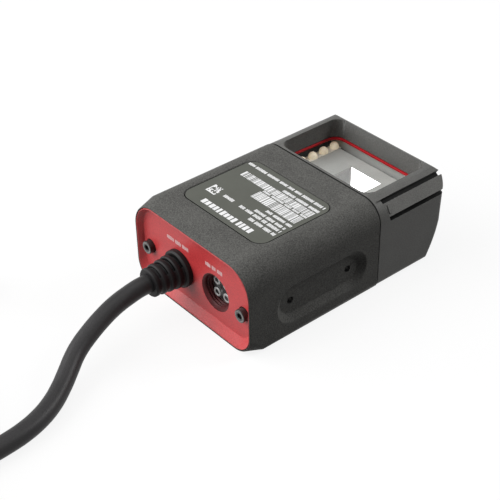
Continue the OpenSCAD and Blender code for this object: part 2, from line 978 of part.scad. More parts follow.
// Wedge under the mirror, open to the front between its side plates
module mirror_bracket() {
    heel = mirror_heel();
    head = mirror_head();
    inner_shift = heel[0] - heel[1] + bracket_rib * sqrt(2);
    inner_z = head_floor + bracket_rib;
    color("dimgray")
    difference() {
        across(mirror_hw)
            polygon([heel, head, [head[0] - bracket_lean, head_floor], [heel[0], head_floor]]);
        across(mirror_hw - bracket_rib)
            polygon([[inner_z + inner_shift, inner_z], [head[0] + past, head[0] + past - inner_shift],
                     [head[0] + past, inner_z]]);
    }
}

module lens_barrel() {
    color("black")
    turned(0, lens_front - lens_l, lens_z)
        polygon([[lens_bore_r, 0], [lens_back_r, 0], [lens_back_r, lens_l - lens_grip_l],
                 [lens_r, lens_l - lens_grip_l], [lens_r, lens_l - lens_edge], [lens_r - lens_edge, lens_l],
                 [lens_r - lens_rim, lens_l], [lens_glass_r, lens_l - lens_hood],
                 [lens_glass_r, lens_l - lens_seat], [lens_bore_r, lens_l - lens_grip_l]]);
}

module front_lens() {
    color("lightsteelblue")
    turned(0, lens_front - lens_seat, lens_z)
        square([lens_glass_r - thread_gap, lens_glass_t]);
}

module lens_holder() {
    color("dimgray")
    difference() {
        translate([-holder_hw, holder_y0, board_top])
            cube([2 * holder_hw, holder_y1 - holder_y0, lens_z + holder_hw - board_top]);
        rod(0, holder_y0 - past, lens_z, lens_back_r + slide_gap, holder_y1 - holder_y0 + 2 * past);
    }
}

module sensor_board() {
    color("green")
    translate([-holder_hw, holder_y0 - board_t, board_top])
        cube([2 * holder_hw, board_t, lens_z + holder_hw - board_top]);
}

module image_sensor() {
    color("darkslategray")
    translate([-sensor_w / 2, holder_y0, lens_z - sensor_w / 2])
        cube([sensor_w, sensor_t, sensor_w]);
}

module main_board() {
    color("green")
    difference() {
        translate([-board_hw, board_y0, board_z])
            cube([2 * board_hw, board_y1 - board_y0, board_t]);
        for (side = [-1, 1], y = stud_ys)
            translate([side * stud_x, y, board_z - past])
                cylinder(r = stud_r + fit_gap, h = board_t + 2 * past);
    }
}

module processor() {
    color("darkslategray")
    translate([-chip_w / 2, chip_y - chip_w / 2, board_z - chip_t])
        cube([chip_w, chip_w, chip_t]);
}

module heat_pad() {
    color("lightblue")
    translate([-chip_w / 2, chip_y - chip_w / 2, wall_t])
        cube([chip_w, chip_w, standoff_h - chip_t]);
}

module connector_board() {
    color("green")
    difference() {
        translate([-io_hw, io_y, io_z0])
            cube([2 * io_hw, board_t, io_z1 - io_z0]);
        for (side = [-1, 1])
            rod(side * post_x, io_y - past, post_z, stud_r + fit_gap, board_t + 2 * past);
        at_contacts()
            rod(0, io_y - past, 0, tail_r + tail_gap, board_t + 2 * past);
    }
}

// Pan-head screw along -Z, its seat at the origin
module board_screw() {
    difference() {
        union() {
            cylinder(r = pan_r, h = pan_h);
            translate([0, 0, -board_t - pan_reach])
                cylinder(r = stud_hole_r - thread_gap, h = board_t + pan_reach + slice);
        }
        translate([0, 0, pan_h - pan_key_d])
            cylinder(r = pan_key_r, h = past, $fn = 6);
    }
}

module board_screws() {
    color("silver") {
        for (side = [-1, 1], y = stud_ys)
            translate([side * stud_x, y, board_top])
                board_screw();
        for (side = [-1, 1])
            translate([side * post_x, io_y + board_t, post_z])
                rotate([-90, 0, 0])
                    board_screw();
    }
}

// Places of the four socket contacts
module at_contacts() {
    for (sx = [-1, 1], sz = [-1, 1])
        translate([socket_x + sx * contact_pitch / 2, 0, port_z + sz * contact_pitch / 2])
            children();
}

module socket_insert() {
    color("black")
    difference() {
        union() {
            rod(socket_x, socket_face, port_z, insert_r, io_y - socket_face);
            rod(socket_x, socket_back + ring_t, port_z, flange_r, flange_t);
            at_contacts()
                rod(0, socket_face - collar_h, 0, collar_r, collar_h + slice);
        }
        at_contacts()
            rod(0, socket_face - past, 0, contact_r + thread_gap, io_y - socket_face + 2 * past);
        translate([socket_x - insert_r - past, socket_face - past, port_z - key_w / 2])
            cube([key_d + past, past + key_l, key_w]);
    }
}

module socket_shield() {
    color("silver")
    turned(socket_x, socket_face - collar_h, port_z)
        difference() {
            translate([insert_r + thread_gap, 0])
                square([sleeve_t - thread_gap, socket_back - socket_face + collar_h]);
            translate([insert_r - slice, -slice])
                square(sleeve_edge);
        }
}

module socket_contacts() {
    contact_y = socket_face - collar_h + contact_drop;
    color("gold")
    at_contacts()
        difference() {
            union() {
                rod(0, contact_y, 0, contact_r, io_y - contact_y);
                rod(0, io_y - slice, 0, tail_r, board_t + tail_over);
            }
            rod(0, contact_y - past, 0, contact_r - contact_wall, past + contact_d);
        }
}

module socket_ring() {
    color("black")
    turned(socket_x, socket_back, port_z)
        translate([shield_r + slide_gap, 0])
            square([flange_r - shield_r - slide_gap, ring_t]);
}

// Ribbed strain relief, widest at its flange on the panel; the ribs are joined at the sides
module cable_boot() {
    reach = boot_l + dish_d;
    rib_pitch = (reach - boot_flange_t) / boot_ribs;
    back = dish_d - panel_t;
    rib_r = boot_r - boot_step;
    spine_l = reach - boot_rib_w / 2;
    color("black")
    translate([gland_x, floor_y, port_z])
        rotate([90, 0, 0]) {
            rotate_extrude() {
                polygon([[0, back], [neck_r, back], [neck_r, 0], [boot_r - 2 * boot_core_drop, 0],
                         [boot_end_r - boot_core_drop, reach], [0, reach]]);
                polygon([[0, 0], [boot_r, 0], [boot_r, boot_flange_t - boot_flange_edge],
                         [boot_r - boot_flange_edge, boot_flange_t], [0, boot_flange_t]]);
                translate([0, back - barb_t])
                    square([neck_r + barb_lip, barb_t]);
                for (i = [1 : boot_ribs])
                    translate([0, boot_flange_t + i * rib_pitch - boot_rib_w])
                        boot_rib(rib_r + (boot_end_r - rib_r) * i / boot_ribs);
            }
            for (side = [0, 180])
                rotate(side - boot_spine_angle / 2)
                    rotate_extrude(angle = boot_spine_angle)
                        polygon([[0, 0], [rib_r - boot_spine_drop, 0],
                                 [boot_end_r - boot_spine_drop, spine_l], [0, spine_l]]);
        }
}

module boot_rib(r) {
    edge_r = r - boot_rib_edge;
    polygon([[0, 0], [edge_r, 0], [r, boot_rib_edge], [r, boot_rib_w - boot_rib_edge],
             [edge_r, boot_rib_w], [0, boot_rib_w]]);
}

module inner_lead() {
    start = panel_in + barb_t;
    color("black")
    rod(gland_x, start, port_z, lead_r, lead_end - start);
}

module lead_connector() {
    color("ivory")
    translate([gland_x - lead_plug_w / 2, lead_end, port_z - lead_plug_h / 2])
        cube([lead_plug_w, lead_plug_l, lead_plug_h]);
}

module cord() {
    color("black")
    tube(cord_route, cord_r, cord_sides);
}

module coil_section(gap = 0) {
    translate([coil_r, coil_half])
        round_square(coil_half + gap, cord_r + gap);
}

module round_square(half, r) {
    square([2 * half, 2 * (half - r)], center = true);
    square([2 * (half - r), 2 * half], center = true);
    for (sx = [-1, 1], sy = [-1, 1])
        translate([sx * (half - r), sy * (half - r)])
            circle(r, $fn = 32);
}

module cord_coil() {
    color("black")
    translate(coil_at)
        rotate_extrude()
            coil_section();
}

module cord_tie() {
    color("black")
    translate(coil_at)
        rotate(-90 - tie_w / 2)
            rotate_extrude(angle = tie_w)
                difference() {
                    coil_section(tie_t);
                    coil_section();
                }
}

module cord_tail() {
    color("black")
    tube([tail_start, plug_at], cord_r, cord_sides);
}

module plug_body() {
    color("black")
    turned(plug_at[0], plug_at[1], plug_r)
        polygon([[0, 0], [plug_tail_r, 0], [plug_tail_r + plug_tail_edge, plug_tail_edge],
                 [plug_taper_r, plug_taper_l], [plug_grip_r, plug_grip_y], [plug_grip_r, plug_body_l],
                 [0, plug_body_l]]);
}

module plug_screw() {
    y = plug_at[1] + plug_body_l;
    front = plug_nut_l + plug_front_l;
    color("silver")
    turned(plug_at[0], y, plug_r)
        polygon([[0, 0], [plug_r - plug_edge, 0], [plug_r, plug_edge], [plug_r, plug_nut_l - plug_edge],
                 [plug_r - plug_edge, plug_nut_l], [plug_front_r, plug_nut_l], [plug_front_r, front],
                 [plug_front_r - plug_wall, front], [plug_front_r - plug_wall, plug_nut_l],
                 [0, plug_nut_l]]);
}

module plug_insert() {
    y = plug_at[1] + plug_body_l + plug_nut_l;
    color("black")
    rod(plug_at[0], y, plug_r, plug_front_r - plug_wall - fit_gap, plug_front_l - plug_well);
}

module plug_pins() {
    y = plug_at[1] + plug_body_l + plug_nut_l + plug_front_l - plug_well;
    color("gold")
    for (i = [1 : plug_pins_n])
        translate([plug_at[0], 0, plug_r])
            rotate([0, 360 * i / plug_pins_n, 0])
                rod(plug_pin_ring, y, 0, plug_pin_r, plug_pin_l);
}

housing();
head_cover();
head_seal();
head_screws();
end_panel();
panel_seal();
panel_screws();
name_label();
window_glass();
window_gasket();
optical_plate();
lamp_board_left();
lamp_board_right();
lamp_domes();
fold_mirror();
mirror_bracket();
lens_barrel();
front_lens();
lens_holder();
sensor_board();
image_sensor();
main_board();
processor();
heat_pad();
connector_board();
board_screws();
socket_insert();
socket_shield();
socket_contacts();
socket_ring();
cable_boot();
inner_lead();
lead_connector();
cord();
cord_coil();
cord_tie();
cord_tail();
plug_body();
plug_screw();
plug_insert();
plug_pins();
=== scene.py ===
import json
import math
import random

import bmesh
import bpy
from mathutils import Matrix, Vector

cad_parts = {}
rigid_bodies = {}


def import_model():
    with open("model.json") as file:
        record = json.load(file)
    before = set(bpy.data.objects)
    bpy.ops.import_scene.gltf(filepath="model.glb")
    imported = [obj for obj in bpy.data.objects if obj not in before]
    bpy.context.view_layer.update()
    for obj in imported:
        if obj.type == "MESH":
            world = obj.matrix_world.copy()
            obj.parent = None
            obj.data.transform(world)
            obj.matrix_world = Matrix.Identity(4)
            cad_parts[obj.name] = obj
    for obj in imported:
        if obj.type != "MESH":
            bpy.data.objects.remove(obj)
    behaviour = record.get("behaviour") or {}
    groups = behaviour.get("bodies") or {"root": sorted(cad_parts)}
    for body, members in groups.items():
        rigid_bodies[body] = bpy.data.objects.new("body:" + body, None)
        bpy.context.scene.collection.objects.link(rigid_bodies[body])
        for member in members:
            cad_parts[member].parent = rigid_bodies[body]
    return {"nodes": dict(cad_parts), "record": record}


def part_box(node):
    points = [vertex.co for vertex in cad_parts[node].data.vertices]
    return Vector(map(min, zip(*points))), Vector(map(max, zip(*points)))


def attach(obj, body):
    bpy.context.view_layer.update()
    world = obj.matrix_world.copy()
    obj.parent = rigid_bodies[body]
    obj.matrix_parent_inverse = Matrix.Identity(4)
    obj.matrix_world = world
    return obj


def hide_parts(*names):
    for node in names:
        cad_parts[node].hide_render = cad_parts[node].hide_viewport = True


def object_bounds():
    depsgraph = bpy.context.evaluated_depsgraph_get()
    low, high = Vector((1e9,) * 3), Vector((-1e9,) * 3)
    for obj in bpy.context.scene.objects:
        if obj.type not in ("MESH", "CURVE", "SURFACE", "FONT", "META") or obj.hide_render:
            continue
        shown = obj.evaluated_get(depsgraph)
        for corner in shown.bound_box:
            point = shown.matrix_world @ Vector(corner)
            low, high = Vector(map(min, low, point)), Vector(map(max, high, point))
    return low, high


for leftover in list(bpy.data.objects):
    bpy.data.objects.remove(leftover)

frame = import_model()
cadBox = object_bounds()
nodes = frame["nodes"]
slotOf = {part["node"]: part["material_slot"] for part in frame["record"]["subparts"]}
mm = 0.001
print("frame:", len(nodes), "nodes")


# view of the reader, in mm
shot = {
    "at": (248.47, -224.36, 248.04),
    "target": (0, -18.73, 14.79),
    "roll": -1.01,  # degrees
    "lens": 86.26,
    "sensor": 36,
    "nearest": 10,
}


def placeCamera():
    lens = bpy.data.cameras.new("camera")
    lens.lens = shot["lens"]
    lens.sensor_width = shot["sensor"]
    lens.clip_start = shot["nearest"] * mm
    camera = bpy.data.objects.new("camera", lens)
    at = Vector(shot["at"]) * mm
    aim = (Vector(shot["target"]) * mm - at).to_track_quat("-Z", "Y").to_matrix().to_4x4()
    roll = Matrix.Rotation(math.radians(shot["roll"]), 4, "Z")
    camera.matrix_world = Matrix.Translation(at) @ aim @ roll
    bpy.context.scene.collection.objects.link(camera)
    bpy.context.scene.camera = camera


placeCamera()
print("camera placed")


# shader helpers

def addNode(tree, kind, **settings):
    node = tree.nodes.new(kind)
    for key, value in settings.items():
        setattr(node, key, value)
    return node


def feed(tree, source, target):
    if isinstance(source, bpy.types.NodeSocket):
        tree.links.new(source, target)
    else:
        target.default_value = source


def mathNode(tree, operation, first, second=None):
    node = addNode(tree, "ShaderNodeMath", operation=operation)
    feed(tree, first, node.inputs[0])
    if second is not None:
        feed(tree, second, node.inputs[1])
    return node.outputs[0]


def mixColor(tree, factor, first, second, blend="MIX"):
    node = addNode(tree, "ShaderNodeMix", data_type="RGBA", blend_type=blend)
    feed(tree, factor, node.inputs[0])
    feed(tree, first, node.inputs[6])
    feed(tree, second, node.inputs[7])
    return node.outputs[2]


def stretch(tree, value, low, high, toLow=0.0, toHigh=1.0):
    node = addNode(tree, "ShaderNodeMapRange", clamp=True)
    for socket, source in zip(node.inputs, (value, low, high, toLow, toHigh)):
        feed(tree, source, socket)
    return node.outputs[0]


def newGroup(name, inputs, outputs):
    group = bpy.data.node_groups.new(name, "ShaderNodeTree")
    for label, kind, default in inputs:
        socket = group.interface.new_socket(label, in_out="INPUT", socket_type=kind)
        socket.default_value = default
    for label, kind in outputs:
        group.interface.new_socket(label, in_out="OUTPUT", socket_type=kind)
    return group, addNode(group, "NodeGroupInput"), addNode(group, "NodeGroupOutput")


# ranges are noise or angle levels between which an effect sets in
grainLook = {"fineDetail": 3, "patchDetail": 5, "tone": (0.36, 0.64), "fineShare": 0.4}
wearAndHighlightLook = {
    "samples": 6, "edge": (0.015, 0.2), "detail": 4, "noise": (0.35, 0.65), "least": 0.25,
    "breakup": 2,  # mm
}
paintedShadeLook = {"samples": 8, "closed": (0.2, 0.6)}


def makeGrainGroup():
    # fine grain with broad patches: colour, roughness and a height for bump
    group, given, made = newGroup(
        "surfaceGrain",
        [("Grain Size", "NodeSocketFloat", 0.0004), ("Patch Size", "NodeSocketFloat", 0.012),
         ("Fine Share", "NodeSocketFloat", grainLook["fineShare"]),
         ("Color", "NodeSocketColor", (0.1, 0.1, 0.1, 1)),
         ("Tint", "NodeSocketColor", (0.12, 0.12, 0.12, 1)),
         ("Roughness", "NodeSocketFloat", 0.5), ("Spread", "NodeSocketFloat", 0.1)],
        [("Color", "NodeSocketColor"), ("Roughness", "NodeSocketFloat"), ("Height", "NodeSocketFloat")])
    place = addNode(group, "ShaderNodeTexCoord").outputs["Object"]
    layers = []
    for label, detail in (("Grain Size", grainLook["fineDetail"]), ("Patch Size", grainLook["patchDetail"])):
        noise = addNode(group, "ShaderNodeTexNoise")
        noise.inputs["Detail"].default_value = detail
        feed(group, place, noise.inputs["Vector"])
        feed(group, mathNode(group, "DIVIDE", 1.0, given.outputs[label]), noise.inputs["Scale"])
        layers.append(noise.outputs["Fac"])
    fine, patch = layers
    lead = mathNode(group, "SUBTRACT", fine, patch)
    added = mathNode(group, "MULTIPLY", lead, given.outputs["Fine Share"])
    share = mathNode(group, "ADD", patch, added)
    tone = stretch(group, share, *grainLook["tone"])
    color = mixColor(group, tone, given.outputs["Color"], given.outputs["Tint"])
    feed(group, color, made.inputs["Color"])
    swing = mathNode(group, "MULTIPLY", mathNode(group, "SUBTRACT", share, 0.5), given.outputs["Spread"])
    feed(group, mathNode(group, "ADD", given.outputs["Roughness"], swing), made.inputs["Roughness"])
    feed(group, fine, made.inputs["Height"])
    return group


def makeWearAndHighlightGroup():
    # mask that is strong along edges and broken up by noise: edge wear together with painted edge highlight
    group, given, made = newGroup(
        "edgeWearAndHighlight",
        [("Radius", "NodeSocketFloat", 0.0004), ("Breakup Size", "NodeSocketFloat", 0.002),
         ("Amount", "NodeSocketFloat", 0.5)],
        [("Mask", "NodeSocketFloat")])
    bevel = addNode(group, "ShaderNodeBevel", samples=wearAndHighlightLook["samples"])
    feed(group, given.outputs["Radius"], bevel.inputs["Radius"])
    surface = addNode(group, "ShaderNodeNewGeometry")
    dot = addNode(group, "ShaderNodeVectorMath", operation="DOT_PRODUCT")
    feed(group, bevel.outputs["Normal"], dot.inputs[0])
    feed(group, surface.outputs["Normal"], dot.inputs[1])
    edge = stretch(group, mathNode(group, "SUBTRACT", 1.0, dot.outputs["Value"]), *wearAndHighlightLook["edge"])
    noise = addNode(group, "ShaderNodeTexNoise")
    noise.inputs["Detail"].default_value = wearAndHighlightLook["detail"]
    feed(group, addNode(group, "ShaderNodeTexCoord").outputs["Object"], noise.inputs["Vector"])
    feed(group, mathNode(group, "DIVIDE", 1.0, given.outputs["Breakup Size"]), noise.inputs["Scale"])
    broken = stretch(group, noise.outputs["Fac"], *wearAndHighlightLook["noise"], wearAndHighlightLook["least"])
    patchy = mathNode(group, "MULTIPLY", edge, broken)
    feed(group, mathNode(group, "MULTIPLY", patchy, given.outputs["Amount"]), made.inputs["Mask"])
    return group


def makePaintedShadeGroup():
    # painted shade: mask that is strong in grooves and inside corners
    group, given, made = newGroup(
        "paintedCreviceShade",
        [("Reach", "NodeSocketFloat", 0.001), ("Amount", "NodeSocketFloat", 0.5)],
        [("Mask", "NodeSocketFloat")])
    nearby = addNode(group, "ShaderNodeAmbientOcclusion", samples=paintedShadeLook["samples"])
    feed(group, given.outputs["Reach"], nearby.inputs["Distance"])
    closed = stretch(group, mathNode(group, "SUBTRACT", 1.0, nearby.outputs["AO"]), *paintedShadeLook["closed"])
    feed(group, mathNode(group, "MULTIPLY", closed, given.outputs["Amount"]), made.inputs["Mask"])
    return group


grainGroup = makeGrainGroup()
wearAndHighlightGroup = makeWearAndHighlightGroup()
paintedShadeGroup = makePaintedShadeGroup()


def newMaterial(name):
    material = bpy.data.materials.new(name)
    material.use_nodes = True
    return material, material.node_tree, material.node_tree.nodes["Principled BSDF"]


def placeGroup(tree, group, values):
    node = addNode(tree, "ShaderNodeGroup", node_tree=group)
    for label, value in values.items():
        feed(tree, value, node.inputs[label])
    return node


def rgba(color):
    return (*color, 1)


def addBump(tree, shader, height, depth):
    bump = addNode(tree, "ShaderNodeBump")
    bump.inputs["Strength"].default_value = 1
    bump.inputs["Distance"].default_value = depth
    feed(tree, height, bump.inputs["Height"])
    feed(tree, bump.outputs["Normal"], shader.inputs["Normal"])


def grainedFinish(name, look):
    # one coat: grain and patches all over, lighter or barer along the edges as wear and painted highlight,
    # darker in grooves and inside corners as painted shade
    material, tree, shader = newMaterial(name)
    grain = placeGroup(tree, grainGroup, {
        "Grain Size": look["grain"] * mm, "Patch Size": look["patch"] * mm,
        "Fine Share": look.get("fine", grainLook["fineShare"]),
        "Color": rgba(look["color"]), "Tint": rgba(look["tint"]),
        "Roughness": look["roughness"], "Spread": look["spread"]})
    color = grain.outputs["Color"]
    # edge wear and painted highlight: lighter colour along the edges
    if "wearAndHighlight" in look:
        wearAndHighlight = placeGroup(tree, wearAndHighlightGroup, {
            "Radius": look["wearAndHighlightWidth"] * mm, "Breakup Size": wearAndHighlightLook["breakup"] * mm,
            "Amount": look["wearAndHighlight"]})
        color = mixColor(tree, wearAndHighlight.outputs["Mask"], color, rgba(look["wearAndHighlightColor"]))
    # painted shade: colour darkened in grooves and inside corners
    if "paintedShade" in look:
        paintedShade = placeGroup(tree, paintedShadeGroup, {
            "Reach": look["paintedShadeReach"] * mm, "Amount": look["paintedShade"]})
        color = mixColor(tree, paintedShade.outputs["Mask"], color, rgba(look["paintedShadeColor"]))
    feed(tree, color, shader.inputs["Base Color"])
    feed(tree, grain.outputs["Roughness"], shader.inputs["Roughness"])
    addBump(tree, shader, grain.outputs["Height"], look["bump"] * mm)
    for socket, value in look.get("shader", {}).items():
        shader.inputs[socket].default_value = value
    return material


print("shader groups made")


# finishes: sizes in mm, colours linear; some have painted shade in grooves and inside corners, and wear with
# painted highlight along edges

housingPaint = grainedFinish("housingPaint", {
    "color": (0.054, 0.0535, 0.051), "tint": (0.122, 0.121, 0.114), "grain": 0.42, "patch": 9, "fine": 0.8,
    "roughness": 0.62, "spread": 0.2, "bump": 0.07,
    "wearAndHighlight": 0.3, "wearAndHighlightWidth": 0.4, "wearAndHighlightColor": (0.15, 0.148, 0.142),
    "paintedShade": 0.85, "paintedShadeReach": 1.4, "paintedShadeColor": (0.012, 0.012, 0.012),
    "shader": {"Specular IOR Level": 0.07}})
headPaint = grainedFinish("headPaint", {
    "color": (0.076, 0.0755, 0.072), "tint": (0.126, 0.125, 0.119), "grain": 0.36, "patch": 9, "fine": 0.75,
    "roughness": 0.52, "spread": 0.15, "bump": 0.035,
    "wearAndHighlight": 0.3, "wearAndHighlightWidth": 0.4, "wearAndHighlightColor": (0.16, 0.158, 0.15),
    "paintedShade": 0.85, "paintedShadeReach": 1.2, "paintedShadeColor": (0.01, 0.01, 0.01),
    "shader": {"Specular IOR Level": 0.22}})
gapShade = grainedFinish("gapShade", {
    "color": (0.004, 0.004, 0.004), "tint": (0.009, 0.009, 0.009), "grain": 0.3, "patch": 3,
    "roughness": 0.8, "spread": 0.1, "bump": 0.01, "shader": {"Specular IOR Level": 0.05}})
# painted shade: near black for the slot grooves, as the shade deep in them
paintedGrooveShade = grainedFinish("paintedGrooveShade", {
    "color": (0.009, 0.009, 0.0088), "tint": (0.017, 0.017, 0.0165), "grain": 0.3, "patch": 3,
    "roughness": 0.7, "spread": 0.1, "bump": 0.01, "shader": {"Specular IOR Level": 0.1}})
# painted light: a lighter copy of the head paint for the slot's land, as if it caught more light
paintedLightLand = grainedFinish("paintedLightLand", {
    "color": (0.13, 0.129, 0.122), "tint": (0.2, 0.199, 0.19), "grain": 0.36, "patch": 9, "fine": 0.75,
    "roughness": 0.5, "spread": 0.15, "bump": 0.03,
    "wearAndHighlight": 0.3, "wearAndHighlightWidth": 0.4, "wearAndHighlightColor": (0.2, 0.198, 0.19),
    "shader": {"Specular IOR Level": 0.22}})
panelPaint = grainedFinish("panelPaint", {
    "color": (0.4, 0.026, 0.03), "tint": (0.56, 0.048, 0.05), "grain": 0.36, "patch": 7, "fine": 0.7,
    "roughness": 0.42, "spread": 0.2, "bump": 0.03,
    "wearAndHighlight": 0.5, "wearAndHighlightWidth": 0.4, "wearAndHighlightColor": (0.75, 0.13, 0.13),
    "shader": {"Specular IOR Level": 0.5}})
# painted shade: the panel's red darkened for the thread, which lies in shade deep in the bore
paintedShadeThread = grainedFinish("paintedShadeThread", {
    "color": (0.05, 0.007, 0.008), "tint": (0.09, 0.011, 0.013), "grain": 0.2, "patch": 2,
    "roughness": 0.45, "spread": 0.2, "bump": 0.01,
    "wearAndHighlight": 0.6, "wearAndHighlightWidth": 0.12, "wearAndHighlightColor": (0.2, 0.03, 0.03),
    "shader": {"Specular IOR Level": 0.2}})
gasketRubber = grainedFinish("gasketRubber", {
    "color": (0.36, 0.003, 0.008), "tint": (0.45, 0.006, 0.013), "grain": 0.25, "patch": 3,
    "roughness": 0.5, "spread": 0.2, "bump": 0.02, "shader": {"Specular IOR Level": 0.2}})
plateGrey = grainedFinish("plateGrey", {
    "color": (0.46, 0.466, 0.44), "tint": (0.53, 0.536, 0.51), "grain": 0.2, "patch": 5,
    "roughness": 0.5, "spread": 0.2, "bump": 0.006})
wallGrey = grainedFinish("wallGrey", {
    "color": (0.37, 0.375, 0.355), "tint": (0.43, 0.435, 0.415), "grain": 0.2, "patch": 5,
    "roughness": 0.5, "spread": 0.2, "bump": 0.006})
# painted light: near white for the shield's sideways faces, so that in their shade they match the lit plate
paintedLightShield = grainedFinish("paintedLightShield", {
    "color": (0.92, 0.93, 0.91), "tint": (0.97, 0.98, 0.96), "grain": 0.2, "patch": 5,
    "roughness": 0.5, "spread": 0.2, "bump": 0.006})
lampBoardFinish = grainedFinish("lampBoardFinish", {
    "color": (0.9, 0.86, 0.76), "tint": (0.95, 0.91, 0.82), "grain": 0.2, "patch": 4,
    "roughness": 0.4, "spread": 0.2, "bump": 0.01})
blackPlastic = grainedFinish("blackPlastic", {
    "color": (0.016, 0.016, 0.017), "tint": (0.024, 0.024, 0.024), "grain": 0.25, "patch": 4,
    "roughness": 0.48, "spread": 0.2, "bump": 0.012})
chipBlack = grainedFinish("chipBlack", {
    "color": (0.018, 0.018, 0.02), "tint": (0.026, 0.026, 0.028), "grain": 0.12, "patch": 3,
    "roughness": 0.55, "spread": 0.2, "bump": 0.006})
padFoam = grainedFinish("padFoam", {
    "color": (0.3, 0.4, 0.5), "tint": (0.36, 0.46, 0.55), "grain": 0.15, "patch": 3,
    "roughness": 0.8, "spread": 0.1, "bump": 0.02})
sealRubber = grainedFinish("sealRubber", {
    "color": (0.011, 0.011, 0.011), "tint": (0.018, 0.018, 0.018), "grain": 0.2, "patch": 3,
    "roughness": 0.62, "spread": 0.2, "bump": 0.015})
# painted highlight along the rib edges and painted shade in the gaps between the ribs
bootRubber = grainedFinish("bootRubber", {
    "color": (0.009, 0.0085, 0.009), "tint": (0.016, 0.015, 0.0155), "grain": 0.3, "patch": 5,
    "roughness": 0.46, "spread": 0.2, "bump": 0.02,
    "wearAndHighlight": 0.8, "wearAndHighlightWidth": 0.18, "wearAndHighlightColor": (0.08, 0.08, 0.08),
    "paintedShade": 0.9, "paintedShadeReach": 1.2, "paintedShadeColor": (0.002, 0.002, 0.002),
    "shader": {"Specular IOR Level": 0.14}})
cordJacket = grainedFinish("cordJacket", {
    "color": (0.013, 0.0125, 0.013), "tint": (0.021, 0.02, 0.021), "grain": 0.35, "patch": 12,
    "roughness": 0.45, "spread": 0.2, "bump": 0.015, "shader": {"Specular IOR Level": 0.25}})
nylonWhite = grainedFinish("nylonWhite", {
    "color": (0.7, 0.68, 0.6), "tint": (0.76, 0.74, 0.66), "grain": 0.2, "patch": 4,
    "roughness": 0.45, "spread": 0.15, "bump": 0.008})
printInk = grainedFinish("printInk", {
    "color": (0.7, 0.7, 0.71), "tint": (0.8, 0.8, 0.8), "grain": 0.12, "patch": 3,
    "roughness": 0.6, "spread": 0.2, "bump": 0.004})
portInk = grainedFinish("portInk", {
    "color": (0.6, 0.38, 0.38), "tint": (0.7, 0.5, 0.5), "grain": 0.12, "patch": 1,
    "roughness": 0.6, "spread": 0.2, "bump": 0.004})
screwBlack = grainedFinish("screwBlack", {
    "color": (0.012, 0.012, 0.012), "tint": (0.024, 0.024, 0.024), "grain": 0.12, "patch": 2,
    "roughness": 0.34, "spread": 0.25, "bump": 0.006,
    "wearAndHighlight": 0.7, "wearAndHighlightWidth": 0.2, "wearAndHighlightColor": (0.3, 0.3, 0.29)})
screwRim = grainedFinish("screwRim", {
    "color": (0.1, 0.1, 0.098), "tint": (0.26, 0.26, 0.25), "grain": 0.12, "patch": 1,
    "roughness": 0.28, "spread": 0.3, "bump": 0.006, "shader": {"Metallic": 1.0}})
screwZinc = grainedFinish("screwZinc", {
    "color": (0.5, 0.5, 0.49), "tint": (0.62, 0.62, 0.6), "grain": 0.12, "patch": 2,
    "roughness": 0.32, "spread": 0.2, "bump": 0.006, "shader": {"Metallic": 1.0}})
shieldNickel = grainedFinish("shieldNickel", {
    "color": (0.55, 0.54, 0.5), "tint": (0.66, 0.65, 0.61), "grain": 0.1, "patch": 3,
    "roughness": 0.24, "spread": 0.2, "bump": 0.004, "shader": {"Metallic": 1.0}})
contactGold = grainedFinish("contactGold", {
    "color": (0.75, 0.5, 0.16), "tint": (0.85, 0.62, 0.25), "grain": 0.1, "patch": 2,
    "roughness": 0.24, "spread": 0.15, "bump": 0.003, "shader": {"Metallic": 1.0}})
coreBlack = grainedFinish("coreBlack", {
    "color": (0.006, 0.006, 0.006), "tint": (0.012, 0.012, 0.012), "grain": 0.15, "patch": 2,
    "roughness": 0.4, "spread": 0.15, "bump": 0.006,
    "wearAndHighlight": 1.0, "wearAndHighlightWidth": 0.3, "wearAndHighlightColor": (0.6, 0.6, 0.58)})
collarGrey = grainedFinish("collarGrey", {
    "color": (0.3, 0.3, 0.3), "tint": (0.44, 0.44, 0.43), "grain": 0.1, "patch": 1,
    "roughness": 0.3, "spread": 0.15, "bump": 0.004})
mirrorFace = grainedFinish("mirrorFace", {
    "color": (0.97, 0.97, 0.97), "tint": (0.99, 0.99, 0.99), "grain": 0.3, "patch": 6,
    "roughness": 0.02, "spread": 0.02, "bump": 0.00002, "shader": {"Metallic": 1.0}})
# painted light: a faint emission makes the unlit lamp domes glow
lampResin = grainedFinish("lampResin", {
    "color": (0.97, 0.88, 0.68), "tint": (1.0, 0.94, 0.78), "grain": 0.5, "patch": 1.6,
    "roughness": 0.25, "spread": 0.1, "bump": 0.004,
    "shader": {"Specular IOR Level": 0.2, "Emission Color": (0.9, 0.74, 0.5, 1), "Emission Strength": 0.28}})
labelFilm = grainedFinish("labelFilm", {
    "color": (0.067, 0.07, 0.058), "tint": (0.08, 0.083, 0.07), "grain": 0.2, "patch": 6,
    "roughness": 0.48, "spread": 0.15, "bump": 0.006, "shader": {"Specular IOR Level": 0.3}})
boardGreen = grainedFinish("boardGreen", {
    "color": (0.012, 0.09, 0.035), "tint": (0.02, 0.14, 0.06), "grain": 0.3, "patch": 3,
    "roughness": 0.32, "spread": 0.15, "bump": 0.008})
tieFabric = grainedFinish("tieFabric", {
    "color": (0.009, 0.009, 0.009), "tint": (0.02, 0.02, 0.02), "grain": 0.4, "patch": 2,
    "roughness": 0.85, "spread": 0.1, "bump": 0.08, "shader": {"Sheen Weight": 0.3}})


smears = {"grain": 0.6, "patch": 9, "spread": 0.04}


